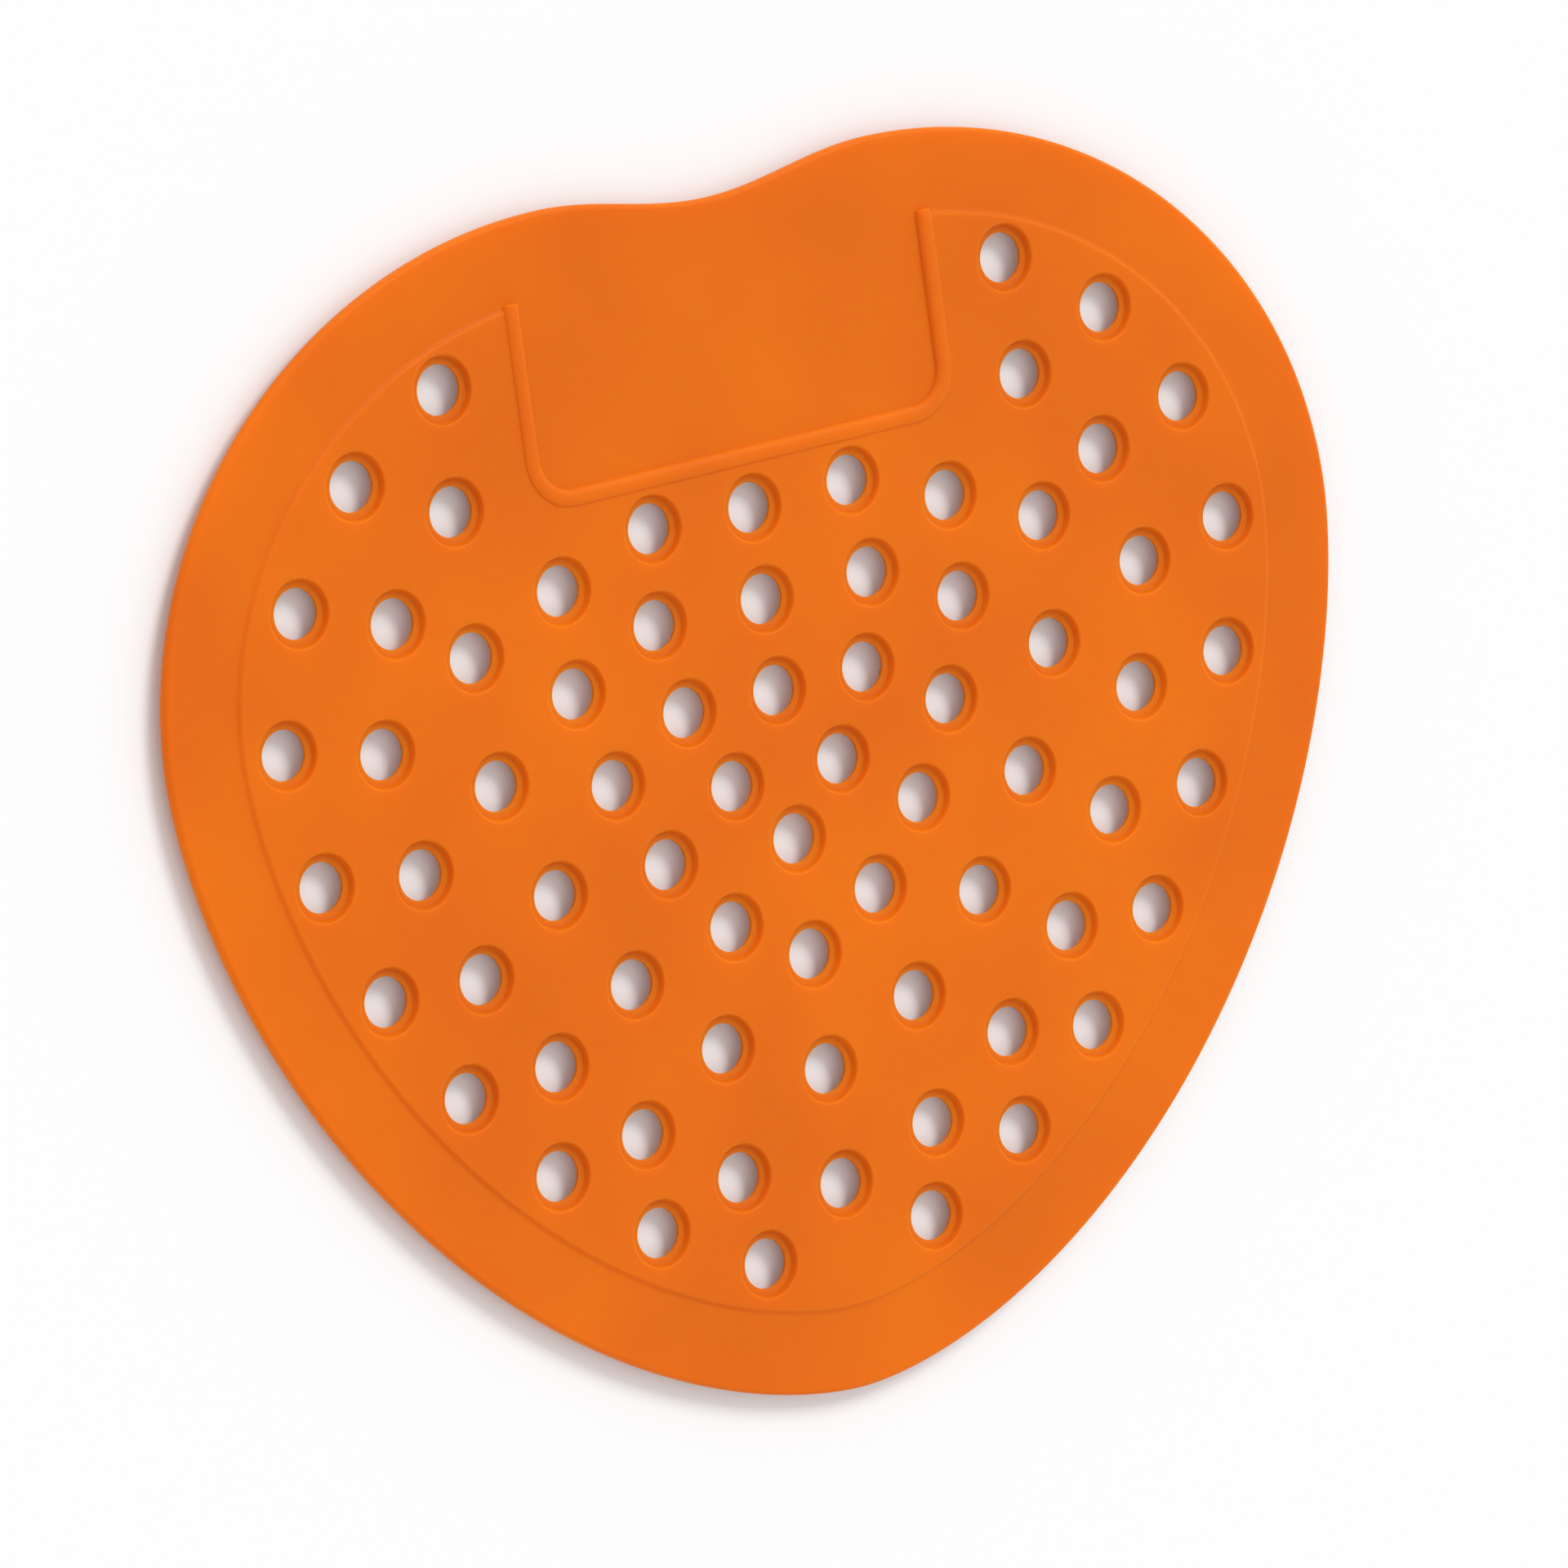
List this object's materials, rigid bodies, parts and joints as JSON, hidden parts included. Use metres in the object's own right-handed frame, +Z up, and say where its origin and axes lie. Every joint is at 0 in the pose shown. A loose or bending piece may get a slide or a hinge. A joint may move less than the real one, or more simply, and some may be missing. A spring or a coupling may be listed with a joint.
{
  "type": "urinal deodorizer screen",
  "caption": "Thin heart-shaped mat of soft scented plastic with rings of recessed drain holes, a framed bare label panel and small feet, for the bottom of a urinal bowl.",
  "frame": {"origin": "middle of the outline's bounding box, on the surface under the feet", "axes": "+X to the right across the screen, +Y towards the label panel and the dip, +Z up out of the printed face"},
  "size_m": [0.178, 0.152, 0.0039],
  "materials": {
    "soft_plastic": "satin, moulded soft plastic, slightly translucent orange"
  },
  "bodies": {
    "root": {"deodorizer_screen": "soft_plastic"}
  },
  "joints": []
}
